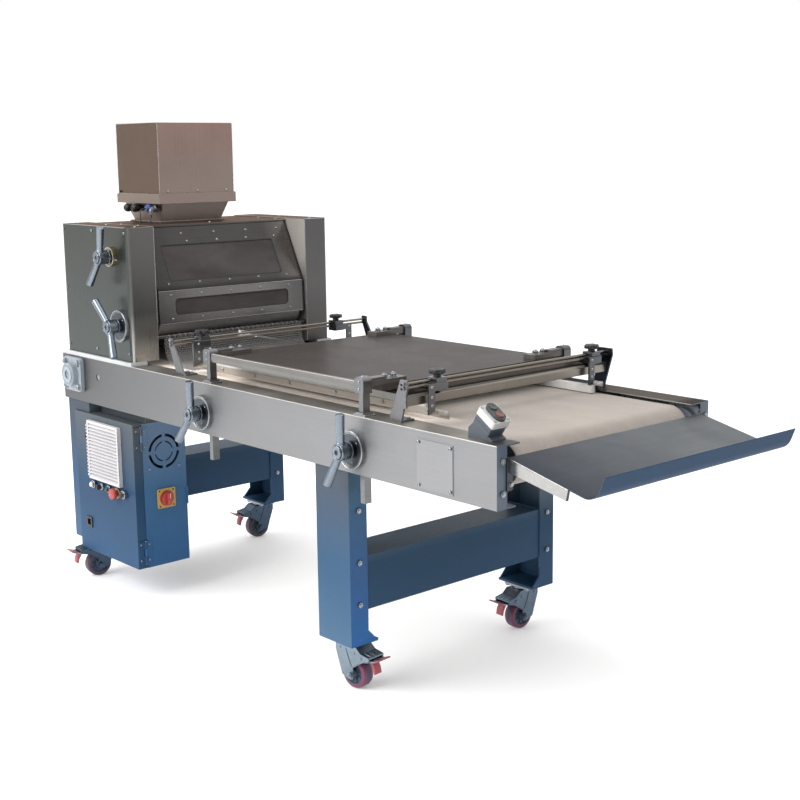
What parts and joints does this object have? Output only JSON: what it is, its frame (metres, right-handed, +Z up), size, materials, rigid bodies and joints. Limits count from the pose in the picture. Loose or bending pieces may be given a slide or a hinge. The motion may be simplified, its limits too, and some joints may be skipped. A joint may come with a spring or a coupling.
{
  "type": "baguette moulder",
  "caption": "Floor-standing dough moulder: hopper and roller head over a canvas belt, with a height-adjustable pressure board, sliding side guides, catch tray and casters.",
  "frame": {"origin": "bottom centre of the whole machine's bounding box, on the floor", "axes": "+X along the belt towards the catch tray, +Z up; the handles and cabinet are on the -Y side"},
  "size_m": [2.526, 0.9536, 1.629],
  "materials": {
    "rail_steel": "satin",
    "galv_steel": "matte",
    "canvas": "woven",
    "blue_paint": "satin",
    "zinc": "bright",
    "bearing_iron": "painted",
    "head_steel": "satin",
    "hopper_steel": "satin",
    "black_plastic": "matte",
    "chain_mesh": "woven",
    "dial_alloy": "satin",
    "bright_steel": "bright",
    "tray_steel": "satin",
    "grey_plastic": "matte",
    "white_plastic": "matte",
    "white_roller": "gloss",
    "chrome_parts": "polished",
    "board_steel": "mirror",
    "tinted_window": "tinted",
    "yellow_plastic": "gloss",
    "red_plastic": "gloss",
    "green_plastic": "gloss",
    "red_wheel": "satin",
    "red_pedal": "satin"
  },
  "bodies": {
    "frame": {"side_rails": "rail_steel", "belt_bed": "galv_steel", "conveyor_belt": "canvas", "leg_frames": "blue_paint", "caster_mounts": "zinc", "frame_fasteners": "zinc", "roller_bearings": "bearing_iron", "head_housings": "head_steel", "head_cover": "head_steel", "hopper_chute": "hopper_steel", "hopper_bin": "hopper_steel", "hopper_fittings": "black_plastic", "curling_mesh": "chain_mesh", "dial_plates": "dial_alloy", "guide_rod_frames": "bright_steel", "catch_tray": "tray_steel", "station_box": "grey_plastic", "cabinet_shell": "blue_paint", "vent_grille": "white_plastic", "panel_bezels": "black_plastic"},
    "caster_near_front": {"caster_fork_near_front": "zinc"},
    "wheel_near_front": {"caster_wheel_near_front": "red_wheel"},
    "pedal_near_front": {"brake_pedal_near_front": "red_pedal"},
    "caster_far_front": {"caster_fork_far_front": "zinc"},
    "wheel_far_front": {"caster_wheel_far_front": "red_wheel"},
    "pedal_far_front": {"brake_pedal_far_front": "red_pedal"},
    "caster_near_rear": {"caster_fork_near_rear": "zinc"},
    "wheel_near_rear": {"caster_wheel_near_rear": "red_wheel"},
    "pedal_near_rear": {"brake_pedal_near_rear": "red_pedal"},
    "caster_far_rear": {"caster_fork_far_rear": "zinc"},
    "wheel_far_rear": {"caster_wheel_far_rear": "red_wheel"},
    "pedal_far_rear": {"brake_pedal_far_rear": "red_pedal"},
    "upper_fixed_roller": {"upper_fixed_roller": "white_roller"},
    "lower_fixed_roller": {"lower_fixed_roller": "white_roller"},
    "drive_roller": {"drive_roller": "bright_steel"},
    "tail_roller": {"tail_roller": "bright_steel"},
    "upper_gap_handle": {"upper_gap_handle": "chrome_parts"},
    "upper_gap_roller": {"upper_gap_roller": "white_roller"},
    "lower_gap_handle": {"lower_gap_handle": "chrome_parts"},
    "lower_gap_roller": {"lower_gap_roller": "white_roller"},
    "board": {"pressure_board": "board_steel", "lift_posts": "bright_steel"},
    "rear_lift_handle": {"rear_lift_handle": "chrome_parts"},
    "front_lift_handle": {"front_lift_handle": "chrome_parts"},
    "near_guide": {"near_guide": "bright_steel", "near_guide_liner": "white_plastic"},
    "knob_near_rear": {"clamp_knob_near_rear": "black_plastic"},
    "knob_near_front": {"clamp_knob_near_front": "black_plastic"},
    "far_guide": {"far_guide": "bright_steel", "far_guide_liner": "white_plastic"},
    "knob_far_rear": {"clamp_knob_far_rear": "black_plastic"},
    "knob_far_front": {"clamp_knob_far_front": "black_plastic"},
    "guard": {"front_guard": "head_steel", "guard_windows": "tinted_window"},
    "door": {"cabinet_door": "blue_paint", "isolator_plate": "yellow_plastic"},
    "isolator": {"isolator_knob": "red_plastic"},
    "estop": {"estop_button": "red_plastic"},
    "start": {"start_button": "green_plastic"},
    "stop": {"stop_button": "red_plastic"}
  },
  "joints": [
    {"name": "swivel_near_front", "type": "hinge", "parent": "frame", "child": "caster_near_front", "pos_m": [0.299, -0.33915, 0.13], "axis": [0, 0, 1], "continuous": true},
    {"name": "roll_near_front", "type": "hinge", "parent": "caster_near_front", "child": "wheel_near_front", "pos_m": [0.31885, -0.33671, 0.045], "axis": [-0.1219, 0.9925, 0], "continuous": true},
    {"name": "brake_near_front", "type": "hinge", "parent": "caster_near_front", "child": "pedal_near_front", "pos_m": [0.35657, -0.33208, 0.101], "axis": [-0.1219, 0.9925, 0], "range_deg": [0, 12]},
    {"name": "swivel_far_front", "type": "hinge", "parent": "frame", "child": "caster_far_front", "pos_m": [0.299, 0.37085, 0.13], "axis": [0, 0, 1], "continuous": true},
    {"name": "roll_far_front", "type": "hinge", "parent": "caster_far_front", "child": "wheel_far_front", "pos_m": [0.2983, 0.35086, 0.045], "axis": [0.9994, -0.0349, 0], "continuous": true},
    {"name": "brake_far_front", "type": "hinge", "parent": "caster_far_front", "child": "pedal_far_front", "pos_m": [0.29698, 0.31288, 0.101], "axis": [0.9994, -0.0349, 0], "range_deg": [0, 12]},
    {"name": "swivel_near_rear", "type": "hinge", "parent": "frame", "child": "caster_near_rear", "pos_m": [-1.152, -0.33915, 0.13], "axis": [0, 0, 1], "continuous": true},
    {"name": "roll_near_rear", "type": "hinge", "parent": "caster_near_rear", "child": "wheel_near_rear", "pos_m": [-1.15478, -0.35896, 0.045], "axis": [0.9903, -0.1392, 0], "continuous": true},
    {"name": "brake_near_rear", "type": "hinge", "parent": "caster_near_rear", "child": "pedal_near_rear", "pos_m": [-1.16007, -0.39659, 0.101], "axis": [0.9903, -0.1392, 0], "range_deg": [0, 12]},
    {"name": "swivel_far_rear", "type": "hinge", "parent": "frame", "child": "caster_far_rear", "pos_m": [-1.152, 0.37085, 0.13], "axis": [0, 0, 1], "continuous": true},
    {"name": "roll_far_rear", "type": "hinge", "parent": "caster_far_rear", "child": "wheel_far_rear", "pos_m": [-1.15478, 0.35104, 0.045], "axis": [0.9903, -0.1392, 0], "continuous": true},
    {"name": "brake_far_rear", "type": "hinge", "parent": "caster_far_rear", "child": "pedal_far_rear", "pos_m": [-1.16007, 0.31341, 0.101], "axis": [0.9903, -0.1392, 0], "range_deg": [0, 12]},
    {"name": "upper_fixed_spin", "type": "hinge", "parent": "frame", "child": "upper_fixed_roller", "pos_m": [-0.951, 0.01585, 1.183], "axis": [0, 1, 0], "continuous": true},
    {"name": "lower_fixed_spin", "type": "hinge", "parent": "frame", "child": "lower_fixed_roller", "pos_m": [-0.922, 0.01585, 0.953], "axis": [0, 1, 0], "continuous": true},
    {"name": "drive_spin", "type": "hinge", "parent": "frame", "child": "drive_roller", "pos_m": [-1.148, 0.01585, 0.755], "axis": [0, 1, 0], "continuous": true},
    {"name": "tail_spin", "type": "hinge", "parent": "frame", "child": "tail_roller", "pos_m": [0.89, 0.01585, 0.755], "axis": [0, 1, 0], "continuous": true},
    {"name": "upper_gap_adjust", "type": "hinge", "parent": "frame", "child": "upper_gap_handle", "pos_m": [-0.874, 0.01585, 1.183], "axis": [0, -1, 0], "range_deg": [0, 90]},
    {"name": "upper_gap_spin", "type": "hinge", "parent": "upper_gap_handle", "child": "upper_gap_roller", "pos_m": [-0.884, 0.01585, 1.183], "axis": [0, 1, 0], "continuous": true},
    {"name": "lower_gap_adjust", "type": "hinge", "parent": "frame", "child": "lower_gap_handle", "pos_m": [-0.831, 0.01585, 0.953], "axis": [0, -1, 0], "range_deg": [0, 110]},
    {"name": "lower_gap_spin", "type": "hinge", "parent": "lower_gap_handle", "child": "lower_gap_roller", "pos_m": [-0.826, 0.01585, 0.953], "axis": [0, 1, 0], "continuous": true},
    {"name": "board_lift", "type": "slide", "parent": "frame", "child": "board", "axis": [0, 0, 1], "range_m": [-0.01, 0.03]},
    {"name": "rear_lift_turn", "type": "hinge", "parent": "frame", "child": "rear_lift_handle", "pos_m": [-0.336, 0.01585, 0.727], "axis": [0, -1, 0], "range_deg": [-36, 108]},
    {"name": "front_lift_turn", "type": "hinge", "parent": "frame", "child": "front_lift_handle", "pos_m": [0.403, 0.01585, 0.727], "axis": [0, -1, 0], "range_deg": [-36, 108]},
    {"name": "near_guide_slide", "type": "slide", "parent": "frame", "child": "near_guide", "axis": [0, 1, 0], "range_m": [-0.04, 0.12]},
    {"name": "clamp_near_rear", "type": "hinge", "parent": "near_guide", "child": "knob_near_rear", "pos_m": [-0.548, -0.26415, 0.94], "axis": [0, 0, 1], "range_deg": [0, 270]},
    {"name": "clamp_near_front", "type": "hinge", "parent": "near_guide", "child": "knob_near_front", "pos_m": [0.588, -0.26415, 0.94], "axis": [0, 0, 1], "range_deg": [0, 270]},
    {"name": "far_guide_slide", "type": "slide", "parent": "frame", "child": "far_guide", "axis": [0, -1, 0], "range_m": [0, 0.12]},
    {"name": "clamp_far_rear", "type": "hinge", "parent": "far_guide", "child": "knob_far_rear", "pos_m": [-0.548, 0.29585, 0.94], "axis": [0, 0, 1], "range_deg": [0, 270]},
    {"name": "clamp_far_front", "type": "hinge", "parent": "far_guide", "child": "knob_far_front", "pos_m": [0.588, 0.36085, 0.94], "axis": [0, 0, 1], "range_deg": [0, 270]},
    {"name": "guard_swing", "type": "hinge", "parent": "frame", "child": "guard", "pos_m": [-0.881, 0.01585, 1.274], "axis": [0, -1, 0], "range_deg": [0, 95]},
    {"name": "door_swing", "type": "hinge", "parent": "frame", "child": "door", "pos_m": [-0.767, -0.38115, 0.368], "axis": [0, 0, -1], "range_deg": [0, 110]},
    {"name": "isolator_turn", "type": "hinge", "parent": "door", "child": "isolator", "pos_m": [-0.753, -0.29315, 0.35], "axis": [1, 0, 0], "range_deg": [0, 90]},
    {"name": "estop_push", "type": "slide", "parent": "frame", "child": "estop", "axis": [0, 1, 0], "range_m": [0, 0.004]},
    {"name": "start_push", "type": "slide", "parent": "frame", "child": "start", "axis": [-0.5446, 0, -0.8387], "range_m": [0, 0.003], "stiffness_N_per_m": 400},
    {"name": "stop_push", "type": "slide", "parent": "frame", "child": "stop", "axis": [-0.5446, 0, -0.8387], "range_m": [0, 0.003], "stiffness_N_per_m": 400}
  ],
  "couplings": [
    {"joint": "tail_spin", "follows": "drive_spin", "ratio": 1},
    {"joint": "upper_fixed_spin", "follows": "drive_spin", "ratio": 1.6562},
    {"joint": "upper_gap_spin", "follows": "drive_spin", "ratio": -1.6562},
    {"joint": "lower_fixed_spin", "follows": "drive_spin", "ratio": 1.2045},
    {"joint": "lower_gap_spin", "follows": "drive_spin", "ratio": -1.2045},
    {"joint": "rear_lift_turn", "follows": "board_lift", "rad_per_m": 62.5},
    {"joint": "front_lift_turn", "follows": "board_lift", "rad_per_m": 62.5}
  ]
}
